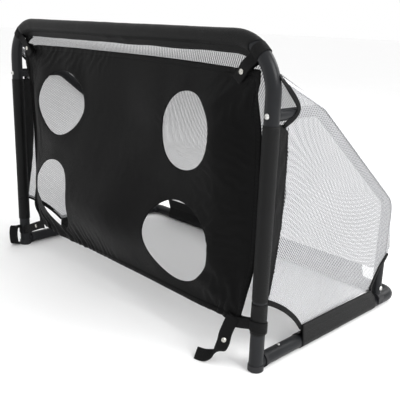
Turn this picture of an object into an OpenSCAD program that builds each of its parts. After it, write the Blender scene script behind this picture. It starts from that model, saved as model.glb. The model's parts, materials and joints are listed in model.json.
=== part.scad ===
// Small bolted ice hockey goal: steel tube frame, sewn net, hung target sheet.
// Millimetres, +Z up. The mouth faces -Y and +X is the right post seen from the front.
// The origin is on the floor, at the middle of the whole goal's box.

/* [Goal size] */
// Distance between the axes of the two posts
post_spacing = 1014; // [900:1:1100]
// Height of the crossbar axis above the floor
bar_height = 700; // [680:1:760]
// Distance from the post axes back to the axis of the rear base tube
base_depth = 566; // [555:1:600]

/* [Main tube] */
// Outer diameter of the front frame and base tubes
tube_d = 32; // [30:0.5:34]
// Wall thickness of all tubes
wall = 1.5; // [1.2:0.1:2]
// Axis radius of the two upper corners of the front frame
corner_r = 105; // [90:1:120]
// Axis radius of the two rear corners of the base
base_corner_r = 28; // [26:1:45]

/* [Support tubes] */
// Outer diameter of the two side support tubes
support_d = 25; // [22:0.5:26]
// Height of the through bolt and of the level part of the support tube
support_z = 556; // [550:1:560]
// Where the level part of the support tube meets the sloping part, behind the post axis
support_knee_y = 153; // [145:1:165]
// Where the support tube stands on the base tube, behind the post axis
support_foot_y = 487; // [480:1:500]
// Height at which the sloping part would meet the upright part
support_hip_z = 295; // [265:1:300]
// Bend radius of the support tube
support_r = 60; // [45:1:65]

/* [Net] */
// Gap between a tube and the sleeve around it
sleeve_gap = 0.3; // [0.2:0.1:0.5]
// Thickness of the sleeve cloth
cloth = 1.2; // [1:0.1:1.5]
// Thickness that stands for the mesh of the net
mesh_t = 3; // [2:0.5:4]
// Distance of each end of the top sleeve from the post axis
top_sleeve_inset = 77; // [70:1:90]
// Distance of each end of the rear sleeve from the side tube axis
rear_sleeve_inset = 86; // [75:1:95]
// Lower and upper end of the post sleeves
post_sleeve_z = [89, 537];
// Front and rear end of the side base sleeves, behind the post axis
base_sleeve_y = [145, 462];
// Radius of the arc that leaves the front base joint open
front_cut_r = 370; // [300:5:500]

/* [Target sheet] */
// Left and right edge of the target sheet
sheet_x = [-425, 478];
// Lower and upper edge of the target sheet
sheet_z = [95, 650];
// Diameter of the four target holes
hole_d = 200; // [170:1:206]
// X of the left and right pair of target holes
hole_x = [-285, 243];
// Height of the lower and upper pair of target holes
hole_z = [214, 496];
// Width of the webbing straps
webbing = 25; // [20:1:30]
// Thickness of the webbing straps
webbing_t = 1.6; // [1.2:0.1:2]

/* [Snap buttons] */
// Diameter of a snap button
button_d = 6.8; // [6:0.2:8]
// How far a button stands out of the outer tube
button_proud = 3; // [2:0.5:3.5]
// Distance from the post axis to the buttons of the base joints
button_y = 75; // [65:1:90]
// Distance of the hidden buttons and rivets from the middle of the goal
hidden_x = 35; // [30:1:45]

/* [Hidden] */
$fn = 64;

post_x = post_spacing / 2;
tube_r = tube_d / 2;
bore_r = tube_r - wall;
plug_r = bore_r - 0.2;
plug_bore_r = plug_r - wall;
support_rad = support_d / 2;
support_bore_r = support_rad - wall;
sleeve_in_r = tube_r + sleeve_gap;
sleeve_r = sleeve_in_r + cloth;
base_z = sleeve_r;

// Foot cap
foot_h = 15;
foot_floor = 3;
foot_r = tube_r + 2;

// Base joint: the base tube is pushed over the stub up to the collar
collar_y = [18.5, 26.5];
collar_r = tube_r + 2;
stub_end_y = 140;

// Snap buttons
button_r = button_d / 2;
button_flange_r = 4.6;
button_flange_t = 1.5;
button_foot = 9.5;
button_hole_r = button_r + 0.1;
spring_w = 8;
spring_t = 1;
spring_run = 42;
pocket_r = 6;
joiner_half = 70;
rivet_r = 2.4;
rivet_head_r = 4.5;
rivet_head_t = 1.2;

// Bolts
bolt_r = 3;
bolt_hole_r = 3.1;
bolt_head_r = 6.2;
bolt_head_h = 4;
plug_len = 28;
plug_start_y = tube_r + 2;
upper_bolt_end_y = plug_start_y + plug_len - 4;

// Support saddle
saddle_len = 24;
saddle_top_z = base_z + tube_r + 9;
spigot_top_z = saddle_top_z + 30;
saddle_bolt_z = saddle_top_z + 14;
nut_h = 5;
nut_r = 5.8;

// Support tube centreline
slope = atan2(support_z - support_hip_z, support_foot_y - support_knee_y);
knee_cut = support_r * tan(slope / 2);
hip_cut = support_r * tan((90 - slope) / 2);
slope_len = norm([support_foot_y - support_knee_y, support_z - support_hip_z]);
knee_start_y = fine(support_knee_y - knee_cut);
hip_end_z = fine(support_hip_z - hip_cut);
mark_r = 0.06;
mark_len = 2;

function fine(x) = round(x * 1000) / 1000;

// Side net plane, just outside the support tube
net_in_x = post_x + support_rad + 1;
net_out_x = net_in_x + mesh_t;
seam_off = support_rad + 4.5;
flap_y = 36;
base_flap_z = 66;
rear_flap = [base_depth - 18, 77];
tape_w = 12;

// Back net centreline, (behind the post axis, height)
seam_knee = [support_knee_y + seam_off * tan(slope / 2) + 6, support_z + seam_off + 1];
seam_hip = [support_foot_y + seam_off + 1, support_hip_z + seam_off * tan((90 - slope) / 2) + 3];
seam_low = [support_foot_y + 24, 138];
net_front = [sleeve_r + 2, bar_height - 30];
net_rear = rear_flap + 2 * unit(seam_low - rear_flap);
back_profile = [net_front, seam_knee, seam_hip, seam_low, net_rear];
back_half_w = net_in_x - 0.3;
front_cut_ends = [[14, 160], [133, 61]];
front_cut_chord = front_cut_ends[1] - front_cut_ends[0];
front_cut_mid = (front_cut_ends[0] + front_cut_ends[1]) / 2
    + unit(left_of(front_cut_chord)) * -sqrt(pow(front_cut_r, 2) - pow(norm(front_cut_chord) / 2, 2));
binding_apex_y = 66;
binding_apex_z = 556;
net_top_z = net_front[1] + (seam_knee[1] - net_front[1])
    * (binding_apex_y - net_front[0]) / (seam_knee[0] - net_front[0]);
rear_cut_z = 240;

// The straps
top_loop_angle = 58;
top_strap_end_x = [447, 417];
top_strap_low_z = sheet_z[1] - 45;
ring_gap = 0.4;
corner_gap = 1.2;
strap_front_y = -2.4;
low_strap_z = 109;
left_strap_z = 53;
tail_reach = 51.5;

// The goal's box runs from the strap tails to the back of the rear sleeve
rear_reach = base_depth + sleeve_r;
y_mid = (rear_reach - tail_reach) / 2;

steel = "dimgray";
cloth_col = "#262626";
net_col = "whitesmoke";
zinc = "silver";
nylon = "#303030";

// ---------- shared shapes ----------

// Moves a shape drawn with Y = 0 at the post axes to the goal's own frame
module placed() {
    translate([0, -y_mid, 0]) children();
}

// Draws a right-hand shape on the right (1) or mirrored on the left (-1)
module on_side(s) {
    placed() scale_x(s) children();
}

module scale_x(s) {
    if (s < 0)
        mirror([1, 0, 0]) children();
    else
        children();
}

module along_x(r, x0, x1) {
    translate([x0, 0, 0]) rotate([0, 90, 0]) cylinder(r = r, h = x1 - x0);
}

module along_y(r, y0, y1) {
    translate([0, y0, 0]) rotate([-90, 0, 0]) cylinder(r = r, h = y1 - y0);
}

// Part of a bent rod in the XY plane, turning from +X (angle 0) by a
module bend(r, bend_r, a) {
    rotate_extrude(angle = a) translate([bend_r, 0]) circle(r = r);
}

// Half of the front frame as a solid rod: post, corner and half crossbar
module front_rod(r, z0, x0) {
    translate([post_x, 0, z0]) cylinder(r = r, h = bar_height - corner_r - z0);
    translate([post_x - corner_r, 0, bar_height - corner_r]) rotate([90, 0, 0]) bend(r, corner_r, 90);
    translate([0, 0, bar_height]) along_x(r, x0, post_x - corner_r);
}

// Half of the base as a solid rod: side tube, rear corner and half rear tube
module base_rod(r, y0, x0) {
    translate([post_x, 0, base_z]) along_y(r, y0, base_depth - base_corner_r);
    translate([post_x - base_corner_r, base_depth - base_corner_r, base_z]) bend(r, base_corner_r, 90);
    translate([0, base_depth, base_z]) along_x(r, x0, post_x - base_corner_r);
}

// A thin swelling where a bend starts, which joins it to its straight run
module bend_mark(r, y) {
    along_y(r + mark_r, y - mark_len / 2, y + mark_len / 2);
}

// The support tube's route as a solid rod, in the plane of the right post
module support_rod(r, y0, z0) {
    translate([post_x, 0, support_z]) {
        along_y(r, y0, knee_start_y);
        bend_mark(r, knee_start_y);
    }
    translate([post_x, knee_start_y, support_z - support_r])
        rotate([0, 90, 0]) rotate([0, 0, 180 - slope]) bend(r, support_r, slope);
    translate([post_x, support_knee_y, support_z]) rotate([-slope, 0, 0]) {
        along_y(r, knee_cut, slope_len - hip_cut);
        bend_mark(r, knee_cut);
        bend_mark(r, slope_len - hip_cut);
    }
    translate([post_x, support_foot_y - support_r, hip_end_z])
        rotate([0, 90, 0]) rotate([0, 0, 90]) bend(r, support_r, 90 - slope);
    translate([post_x, support_foot_y, z0]) cylinder(r = r, h = hip_end_z - z0);
    translate([post_x, support_foot_y, hip_end_z - mark_len / 2]) cylinder(r = r + mark_r, h = mark_len);
}

function unit(v) = v / norm(v);
function left_of(v) = [-v[1], v[0]];
function mitre(p, i) =
    let (
        before = unit(p[max(i, 1)] - p[max(i, 1) - 1]),
        after = unit(p[min(i, len(p) - 2) + 1] - p[min(i, len(p) - 2)]),
        n = unit(left_of(before) + left_of(after))
    ) n / (n * left_of(after));

// Flat outline of a band t thick on the left of a line of points
module band(p, t) {
    other = [for (i = [len(p) - 1:-1:0]) p[i] + mitre(p, i) * t];
    polygon(concat(p, other));
}

// A sleeve of length h round +Z, drawn out to a flap whose tip is at p
module sleeve(h, p) {
    tip = cloth;
    d = norm(p);
    t = acos((sleeve_r - tip) / d);
    root_r = sleeve_r - cloth / 2;
    cylinder(r = sleeve_r, h = h);
    linear_extrude(h) rotate(atan2(p[1], p[0])) polygon([
        [0, 0],
        [root_r * cos(t), root_r * sin(t)],
        [d, tip],
        [d, -tip],
        [root_r * cos(t), -root_r * sin(t)]
    ]);
}

// Lays a shape of length y1 - y0 that stands on +Z along Y, as (across, up)
module lay_y(y0, y1) {
    translate([0, y1, 0]) rotate([90, 0, 0]) children();
}

// Lays a shape that stands on +Z along X from x0, as (back, up)
module lay_x(x0) {
    translate([x0, 0, 0]) rotate([90, 0, 90]) children();
}

// Extrudes an (across, up) outline along +Y from y0 to y1
module run_y(y0, y1) {
    lay_y(y0, y1) linear_extrude(y1 - y0) children();
}

// Extrudes a (back, up) outline along +X from x0 to x1
module run_x(x0, x1) {
    lay_x(x0) linear_extrude(x1 - x0) children();
}

// ---------- frame ----------

module front_tube(s) {
    color(steel) on_side(s) difference() {
        front_rod(tube_r, foot_floor, 0);
        front_rod(bore_r, foot_floor - 1, -1);
        translate([post_x, 0, support_z]) along_y(bolt_hole_r, -tube_r - 1, tube_r + 1);
        if (s > 0)
            translate([hidden_x, 0, bar_height - tube_r - 1]) cylinder(r = button_hole_r, h = tube_r);
        else
            translate([hidden_x, 0, bar_height - tube_r - 1]) cylinder(r = rivet_r + 0.1, h = tube_r);
    }
}

module base_tube(s) {
    color(steel) on_side(s) difference() {
        base_rod(tube_r, collar_y[1], 0);
        base_rod(bore_r, collar_y[1] - 1, -1);
        translate([post_x, button_y, base_z]) cylinder(r = button_hole_r, h = tube_r + 1);
        if (s > 0)
            translate([hidden_x, base_depth, base_z]) cylinder(r = button_hole_r, h = tube_r + 1);
        else
            translate([hidden_x, base_depth, base_z]) cylinder(r = rivet_r + 0.1, h = tube_r + 1);
    }
}

// Inner tube that joins two tube ends at the middle; way is where its button points
module joiner(way) {
    difference() {
        along_x(plug_r, -joiner_half, joiner_half);
        along_x(plug_bore_r, -joiner_half - 1, joiner_half + 1);
        rotate([way > 0 ? 0 : 180, 0, 0]) {
            translate([hidden_x, 0, 0]) cylinder(r = button_hole_r, h = tube_r);
            translate([-hidden_x, 0, 0]) cylinder(r = rivet_r + 0.1, h = tube_r);
        }
    }
}

module rivet() {
    translate([0, 0, plug_bore_r - 1.5]) cylinder(r = rivet_r, h = tube_r - plug_bore_r + 1.7);
    translate([0, 0, tube_r]) intersection() {
        cylinder(r = rivet_head_r, h = rivet_head_t);
        translate([0, 0, rivet_head_t - 9.5]) sphere(r = 9.5);
    }
}

module crossbar_joiner() {
    color(steel) placed() translate([0, 0, bar_height]) joiner(-1);
}

module rear_joiner() {
    color(steel) placed() translate([0, base_depth, base_z]) joiner(1);
}

module joiner_rivets() {
    color(zinc) placed() {
        translate([-hidden_x, 0, bar_height]) rotate([180, 0, 0]) rivet();
        translate([-hidden_x, base_depth, base_z]) rivet();
    }
}

module post_stub(s) {
    color(steel) on_side(s) difference() {
        translate([post_x, 0, base_z]) along_y(plug_r, 0, stub_end_y);
        translate([post_x, 0, base_z]) along_y(plug_bore_r, -1, stub_end_y + 1);
        translate([post_x, 0, -1]) cylinder(r = foot_r + 0.1, h = foot_h + 1);
        translate([post_x, 0, -1]) cylinder(r = tube_r + 0.02, h = 2 * base_z + tube_d);
        translate([post_x, button_y, base_z]) cylinder(r = button_hole_r, h = tube_r);
    }
}

module stub_collar(s) {
    color(nylon) on_side(s) translate([post_x, 0, base_z]) difference() {
        union() {
            along_y(base_z, collar_y[0], collar_y[1] - 2);
            along_y(base_z - 0.6, collar_y[1] - 2, collar_y[1]);
        }
        along_y(plug_r + 0.05, collar_y[0] - 1, collar_y[1] + 1);
    }
}

// A snap button at the tube's axis, pointing up
module snap_button() {
    top = tube_r + button_proud;
    dome_r = 5.2;
    intersection() {
        translate([0, 0, button_foot]) cylinder(r = button_r, h = top - button_foot);
        translate([0, 0, top - dome_r]) sphere(r = dome_r);
    }
    translate([0, 0, button_foot]) cylinder(r = button_r, h = top - dome_r - button_foot + 1);
    translate([0, 0, button_foot]) cylinder(r = button_flange_r, h = button_flange_t);
}

// A bent leaf from the far wall of the inner tube to the button's foot, running along +Y
module snap_spring() {
    low = -plug_bore_r + 0.75;
    high = button_foot - 0.05;
    run_x(-spring_w / 2, spring_w / 2) band([
        [-10, low], [spring_run, low], [spring_run + 4, low + 3], [spring_run + 3, low + 7],
        [5, high - spring_t], [-6, high - spring_t]
    ], spring_t);
}

module base_snap_button(s) {
    color(zinc) on_side(s) translate([post_x, button_y, base_z]) snap_button();
}

module base_snap_spring(s) {
    color(zinc) on_side(s) translate([post_x, button_y, base_z]) snap_spring();
}

module crossbar_button() {
    color(zinc) placed() translate([hidden_x, 0, bar_height]) rotate([180, 0, 0]) snap_button();
}

module crossbar_spring() {
    color(zinc) placed() translate([hidden_x, 0, bar_height])
        rotate([180, 0, 0]) rotate([0, 0, 90]) snap_spring();
}

module rear_button() {
    color(zinc) placed() translate([hidden_x, base_depth, base_z]) snap_button();
}

module rear_spring() {
    color(zinc) placed() translate([hidden_x, base_depth, base_z]) rotate([0, 0, 90]) snap_spring();
}

module foot_cap(s) {
    color(nylon) on_side(s) translate([post_x, 0, 0]) rotate_extrude() polygon([
        [0, 0], [foot_r - 1.5, 0], [foot_r, 1.5], [foot_r - 0.4, foot_h - 1],
        [foot_r - 1, foot_h], [tube_r + 0.1, foot_h], [tube_r + 0.1, foot_floor], [0, foot_floor]
    ]);
}

module support_tube(s) {
    color(steel) on_side(s) difference() {
        support_rod(support_rad, 0, saddle_top_z);
        support_rod(support_bore_r, -1, saddle_top_z - 1);
        translate([post_x, 0, support_z - support_d]) cylinder(r = tube_r + 0.05, h = 2 * support_d);
        translate([post_x, support_foot_y, saddle_bolt_z]) along_x(bolt_hole_r, -support_d, support_d);
    }
}

module support_plug(s) {
    color(nylon) on_side(s) translate([post_x, 0, support_z]) difference() {
        along_y(support_bore_r - 0.1, plug_start_y, plug_start_y + plug_len);
        along_y(bolt_r + 0.05, plug_start_y - 1, plug_start_y + plug_len + 1);
    }
}

// Round-headed screw whose head rests at the origin and whose shank runs along -Z
module screw(shank) {
    translate([0, 0, -shank]) cylinder(r = bolt_r, h = shank + 0.5);
    difference() {
        intersection() {
            cylinder(r = bolt_head_r, h = bolt_head_h);
            translate([0, 0, bolt_head_h - 7]) sphere(r = 7);
        }
        translate([0, 0, bolt_head_h - 2]) cylinder(r = 2.3, h = 3, $fn = 6);
    }
}

module upper_bolts() {
    color(zinc) for (s = [1, -1])
        on_side(s) translate([post_x, -tube_r, support_z])
            rotate([90, 0, 0]) screw(tube_r + upper_bolt_end_y);
}

module support_saddle(s) {
    color(nylon) on_side(s) translate([post_x, support_foot_y, 0]) difference() {
        union() {
            translate([-tube_r - 2.5, -saddle_len / 2, base_z - 3])
                cube([tube_d + 5, saddle_len, tube_r - 2]);
            intersection() {
                translate([0, 0, base_z]) along_y(tube_r + 9, -saddle_len / 2, saddle_len / 2);
                translate([-tube_r - 2.5, -saddle_len / 2, base_z])
                    cube([tube_d + 5, saddle_len, tube_r + 9]);
            }
            translate([0, 0, base_z + tube_r + 2]) cylinder(r = support_rad - 0.5, h = 7);
            translate([0, 0, saddle_top_z - 1])
                cylinder(r = support_bore_r - 0.1, h = spigot_top_z - saddle_top_z + 1);
        }
        translate([0, 0, base_z]) along_y(tube_r + 0.05, -saddle_len, saddle_len);
        translate([0, 0, saddle_bolt_z]) along_x(bolt_r + 0.05, -support_d, support_d);
    }
}

module saddle_bolts() {
    color(zinc) for (s = [1, -1])
        on_side(s) translate([post_x + support_rad, support_foot_y, saddle_bolt_z])
            rotate([0, 90, 0]) screw(support_d + nut_h + 1);
}

module saddle_nuts() {
    color(zinc) for (s = [1, -1])
        on_side(s) translate([post_x - support_rad - nut_h, support_foot_y, saddle_bolt_z])
            rotate([0, 90, 0]) difference() {
                cylinder(r = nut_r, h = nut_h, $fn = 6);
                translate([0, 0, -1]) cylinder(r = bolt_r + 0.05, h = nut_h + 2);
            }
}

// ---------- net ----------

module top_sleeve() {
    end = post_x - top_sleeve_inset;
    flap = bar_height - 668;
    color(cloth_col) placed() difference() {
        translate([0, 0, bar_height]) lay_x(-end) sleeve(2 * end, [4, -flap]);
        for (s = [1, -1]) scale_x(s) front_rod(sleeve_in_r, foot_floor, -1);
        for (x = [-hidden_x, hidden_x])
            translate([x, 0, bar_height - tube_r - 6]) cylinder(r = pocket_r, h = tube_r);
    }
}

module post_sleeve(s) {
    flap = [net_in_x - post_x + 1, flap_y];
    color(cloth_col) on_side(s) difference() {
        union() {
            translate([post_x, 0, post_sleeve_z[0]])
                cylinder(r = sleeve_r, h = post_sleeve_z[1] - post_sleeve_z[0]);
            translate([post_x, 0, front_cut_ends[0][1]])
                sleeve(post_sleeve_z[1] - front_cut_ends[0][1], flap);
        }
        front_rod(sleeve_in_r, foot_floor, 0);
    }
}

module base_sleeve(s) {
    flap = [net_in_x - post_x + 1, base_flap_z - base_z];
    color(cloth_col) on_side(s) difference() {
        translate([post_x, 0, base_z]) lay_y(base_sleeve_y[0], base_sleeve_y[1])
            sleeve(base_sleeve_y[1] - base_sleeve_y[0], flap);
        base_rod(sleeve_in_r, collar_y[1], 0);
    }
}

module rear_sleeve() {
    end = post_x - rear_sleeve_inset;
    color(cloth_col) placed() difference() {
        translate([0, base_depth, base_z]) lay_x(-end)
            sleeve(2 * end, rear_flap - [base_depth, base_z]);
        for (s = [1, -1]) scale_x(s) base_rod(sleeve_in_r, collar_y[1], -1);
        for (x = [-hidden_x, hidden_x])
            translate([x, base_depth, base_z + tube_r - 6]) cylinder(r = pocket_r, h = 12);
    }
}

module side_net(s) {
    color(net_col) on_side(s) difference() {
        run_x(net_in_x, net_out_x) polygon([
            [flap_y + 1, base_flap_z + 1],
            [flap_y + 1, post_sleeve_z[1] - tape_w - 1],
            [binding_apex_y + tape_w + 1, binding_apex_z - tape_w - 1],
            [binding_apex_y + tape_w + 1, net_top_z - 12],
            seam_knee,
            seam_hip,
            seam_low,
            [base_sleeve_y[1], base_flap_z + 1]
        ]);
        translate([0, front_cut_mid[0], front_cut_mid[1]])
            along_x(front_cut_r + tape_w / 2, 0, net_out_x + 1);
        run_x(net_in_x - 1, net_out_x + 1) polygon([
            [base_sleeve_y[1] - tape_w - 4, base_flap_z], [seam_low[0] - tape_w - 4, seam_low[1] + 8],
            [seam_low[0] + 5, seam_low[1] + 8], [seam_low[0] + 5, base_flap_z]
        ]);
    }
}

// The front right corner that is cut away from the top of the net, moved left by shift
module upper_cut(shift) {
    end = post_x - top_sleeve_inset;
    translate([-shift, 0, 500]) linear_extrude(250) polygon([
        [end, -5], [end, net_front[0]], [back_half_w - 2, binding_apex_y],
        [back_half_w + 40, binding_apex_y], [back_half_w + 40, -5]
    ]);
}

// The lower right corner that is cut away from the back of the net, moved left by shift
module rear_cut(shift) {
    end = post_x - rear_sleeve_inset;
    translate([-shift, 600, 0]) rotate([90, 0, 0]) linear_extrude(120) polygon([
        [end, 60], [end, rear_flap[1]], [back_half_w - 2, rear_cut_z],
        [back_half_w + 40, rear_cut_z], [back_half_w + 40, 60]
    ]);
}

module back_net() {
    color(net_col) placed() difference() {
        run_x(-back_half_w, back_half_w) band(back_profile, mesh_t);
        for (s = [1, -1]) scale_x(s) {
            upper_cut(tape_w + 2);
            rear_cut(tape_w + 2);
        }
    }
}

module upper_binding(s) {
    color(cloth_col) on_side(s) {
        difference() {
            run_x(net_in_x, net_out_x) band([
                [flap_y + 2, post_sleeve_z[1] - tape_w], [binding_apex_y + tape_w, binding_apex_z - tape_w],
                [binding_apex_y + tape_w, net_top_z - 15]
            ], tape_w - 1);
            translate([post_x, 0, 0]) cube([2 * flap_y, flap_y + 1, bar_height]);
        }
        difference() {
            intersection() {
                run_x(0, back_half_w) band(back_profile, mesh_t);
                upper_cut(tape_w + 1.8);
            }
            upper_cut(0);
        }
    }
}

module front_binding(s) {
    color(cloth_col) on_side(s) intersection() {
        translate([net_in_x, front_cut_mid[0], front_cut_mid[1]]) rotate([90, 0, 90]) difference() {
            cylinder(r = front_cut_r + tape_w / 2 - 0.3, h = mesh_t);
            translate([0, 0, -1]) cylinder(r = front_cut_r - tape_w / 2, h = mesh_t + 2);
        }
        translate([net_in_x - 1, flap_y + 1, base_flap_z + 1]) cube([mesh_t + 2, 200, 200]);
    }
}

module rear_binding(s) {
    color(cloth_col) on_side(s) {
        run_x(net_in_x, net_out_x) band([
            [base_sleeve_y[1] + 0.5, base_flap_z + 1], [seam_low[0] - 1, seam_low[1]]
        ], tape_w - 1);
        difference() {
            intersection() {
                run_x(0, back_half_w) band(back_profile, mesh_t);
                rear_cut(tape_w + 1.8);
            }
            rear_cut(0);
        }
    }
}

// ---------- target ----------

module target_sheet() {
    color(cloth_col) placed() difference() {
        translate([sheet_x[0], -1, sheet_z[0]])
            cube([sheet_x[1] - sheet_x[0], 2, sheet_z[1] - sheet_z[0]]);
        for (x = hole_x, z = hole_z)
            translate([x, 0, z]) along_y(hole_d / 2, -3, 3);
        front_rod(tube_r + 2, foot_floor, 0);
    }
}

// A loop of webbing round the upper corner, at angle a above the corner's middle
module corner_loop(a) {
    translate([post_x - corner_r, 0, bar_height - corner_r])
        rotate([0, -a, 0]) translate([corner_r, 0, -webbing / 2]) difference() {
            cylinder(r = tube_r + corner_gap + webbing_t, h = webbing);
            translate([0, 0, -1]) cylinder(r = tube_r + corner_gap, h = webbing + 2);
        }
}

function corner_at(a, r) = [
    post_x - corner_r + r * cos(a),
    bar_height - corner_r + r * sin(a)
];

module strap_top(s) {
    start = corner_at(top_loop_angle, corner_r - tube_r - ring_gap - webbing_t / 2);
    end_x = s > 0 ? top_strap_end_x[0] : top_strap_end_x[1];
    color(cloth_col) on_side(s) {
        corner_loop(top_loop_angle);
        difference() {
            run_y(strap_front_y - webbing_t, strap_front_y) band([
                [end_x + webbing / 2, top_strap_low_z],
                [start[0] + webbing / 2, start[1] + 3]
            ], webbing);
            front_rod(tube_r + ring_gap, foot_floor, 0);
        }
    }
}

// A loop of webbing round a post of radius r, centred at height z
module post_loop(r, z) {
    translate([post_x, 0, z - webbing / 2]) difference() {
        cylinder(r = r + ring_gap + webbing_t, h = webbing);
        translate([0, 0, -1]) cylinder(r = r + ring_gap, h = webbing + 2);
    }
}

module strap_bottom_right() {
    color(cloth_col) on_side(1) {
        post_loop(sleeve_r, low_strap_z);
        translate([430, strap_front_y - webbing_t, low_strap_z - webbing / 2])
            cube([post_x - sleeve_r - 430, webbing_t, webbing]);
        difference() {
            translate([431, strap_front_y - 1, 0]) rotate([0, 0, -146])
                run_y(-webbing / 2, webbing / 2) band([
                    [0, low_strap_z + 8], [16, 85], [32, 50], [41, 12], [50, 0], [67.5, 0]
                ], webbing_t);
            translate([380, strap_front_y - 0.2, sheet_z[0] - 2]) cube([100, 40, 60]);
        }
    }
}

module strap_bottom_left() {
    color(cloth_col) on_side(-1) {
        post_loop(tube_r, left_strap_z);
        difference() {
            run_y(strap_front_y - webbing_t, strap_front_y) band([
                [post_x - tube_r, left_strap_z - webbing / 2], [400, 97]
            ], -webbing);
            front_rod(tube_r + ring_gap, foot_floor, 0);
        }
        translate([post_x, 0, 0]) run_x(-webbing / 2, webbing / 2) band([
            [-tube_r - 1, 62], [-34, 58], [2 - tail_reach, 42], [1.6 - tail_reach, 20],
            [-42, 1.6], [-20, 1.6]
        ], webbing_t);
    }
}

module stud_cap() {
    intersection() {
        cylinder(r = 5.5, h = 2.2);
        translate([0, 0, 2.2 - 9]) sphere(r = 9);
    }
}

module stud_socket() {
    difference() {
        cylinder(r = 5, h = 1.2);
        translate([0, 0, 0.6]) cylinder(r = 2, h = 1);
    }
}

stud_front_y = strap_front_y - webbing_t;
stud_places = [
    [top_strap_end_x[0], top_strap_low_z + 35],
    [-top_strap_end_x[1] - 13, top_strap_low_z + 32],
    [post_x - 46, low_strap_z],
    [-post_x + 55, left_strap_z + 22]
];

module stud_caps() {
    color(zinc) placed() for (p = stud_places)
        translate([p[0], stud_front_y, p[1]]) rotate([90, 0, 0]) stud_cap();
}

module stud_sockets() {
    color(zinc) placed() for (p = stud_places)
        translate([p[0], strap_front_y + 1.2, p[1]]) rotate([90, 0, 0]) stud_socket();
}

// ---------- drawing ----------

front_tube(-1);  // front_tube_left
front_tube(1);  // front_tube_right
crossbar_joiner();
base_tube(-1);  // base_tube_left
base_tube(1);  // base_tube_right
rear_joiner();
joiner_rivets();
post_stub(-1);  // post_stub_left
post_stub(1);  // post_stub_right
stub_collar(-1);  // stub_collar_left
stub_collar(1);  // stub_collar_right
base_snap_button(-1);  // snap_button_left
base_snap_button(1);  // snap_button_right
base_snap_spring(-1);  // snap_spring_left
base_snap_spring(1);  // snap_spring_right
crossbar_button();
crossbar_spring();
rear_button();
rear_spring();
foot_cap(-1);  // foot_cap_left
foot_cap(1);  // foot_cap_right
support_tube(-1);  // support_tube_left
support_tube(1);  // support_tube_right
support_plug(-1);  // support_plug_left
support_plug(1);  // support_plug_right
upper_bolts();
support_saddle(-1);  // support_saddle_left
support_saddle(1);  // support_saddle_right
saddle_bolts();
saddle_nuts();
top_sleeve();
post_sleeve(-1);  // post_sleeve_left
post_sleeve(1);  // post_sleeve_right
base_sleeve(-1);  // base_sleeve_left
base_sleeve(1);  // base_sleeve_right
rear_sleeve();
side_net(-1);  // side_net_left
side_net(1);  // side_net_right
back_net();
upper_binding(-1);  // upper_binding_left
upper_binding(1);  // upper_binding_right
front_binding(-1);  // front_binding_left
front_binding(1);  // front_binding_right
rear_binding(-1);  // rear_binding_left
rear_binding(1);  // rear_binding_right
target_sheet();
strap_top(-1);  // strap_top_left
strap_top(1);  // strap_top_right
strap_bottom_left();
strap_bottom_right();
stud_caps();
stud_sockets();
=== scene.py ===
"""Hockey goal net: a steel-tube goal with a white mesh net and a black target sheet across its mouth."""
import json
import math
import random

import bpy
import numpy as np
from mathutils import Matrix, Vector, noise
from mathutils.geometry import delaunay_2d_cdt

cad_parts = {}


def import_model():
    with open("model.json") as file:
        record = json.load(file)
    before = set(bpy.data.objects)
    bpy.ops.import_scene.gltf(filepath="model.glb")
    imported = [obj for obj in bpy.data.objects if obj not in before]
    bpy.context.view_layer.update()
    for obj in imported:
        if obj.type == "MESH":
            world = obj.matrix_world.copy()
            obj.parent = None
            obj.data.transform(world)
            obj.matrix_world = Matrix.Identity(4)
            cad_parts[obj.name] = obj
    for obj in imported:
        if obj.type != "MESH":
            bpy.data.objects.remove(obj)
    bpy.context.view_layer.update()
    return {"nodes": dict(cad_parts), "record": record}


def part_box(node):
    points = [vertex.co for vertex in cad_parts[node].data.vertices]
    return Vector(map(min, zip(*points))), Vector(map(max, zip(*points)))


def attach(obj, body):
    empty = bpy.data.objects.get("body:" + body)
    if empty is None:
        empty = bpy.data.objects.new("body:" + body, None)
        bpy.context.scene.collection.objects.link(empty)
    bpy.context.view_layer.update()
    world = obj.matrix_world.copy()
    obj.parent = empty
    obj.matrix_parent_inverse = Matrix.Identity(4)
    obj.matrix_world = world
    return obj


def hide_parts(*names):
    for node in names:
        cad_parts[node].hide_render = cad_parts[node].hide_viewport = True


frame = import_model()

# ---- places read from the frame


def centre(node, axis):
    low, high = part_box(node)
    return (low[axis] + high[axis]) / 2


POST_X = centre("foot_cap_right", 0)
POST_Y = centre("foot_cap_right", 1)
TUBE_R = (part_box("front_tube_right")[1][1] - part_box("front_tube_right")[0][1]) / 2
BAR_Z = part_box("front_tube_right")[1][2] - TUBE_R
BASE_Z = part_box("base_tube_right")[0][2] + TUBE_R
BASE_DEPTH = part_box("base_tube_right")[1][1] - TUBE_R - POST_Y
CORNER_R = 0.105
SUPPORT_R = 0.0125
KNEE_Y = 0.153
HIP_Z = 0.295
SUPPORT_Z = centre("upper_bolts", 2)
SUPPORT_BACK = centre("support_saddle_right", 1) - POST_Y
KNEE = (KNEE_Y, SUPPORT_Z)
HIP = (SUPPORT_BACK, HIP_Z)
FLAP_TOP_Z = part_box("base_sleeve_right")[1][2]
REAR_FLAP_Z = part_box("rear_sleeve")[1][2]
REAR_FLAP_Y = 0.548

# Cloth
SLEEVE_R = TUBE_R + 0.0012
CLOTH_T = 0.0009
SHEET_T = 0.0008
HEM_T = 0.0026
TAPE_T = 0.0021
TAPE_W = 0.012
TAPE_WAVE = 0.0012
WEBBING_W = 0.025
WEBBING_T = 0.0014
FLOOR_GAP = 0.0004
FLAP_HALF_T = 0.0011
BUTTON_X = centre("crossbar_button", 0)
BUTTON_SWELL = 0.0062

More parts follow.
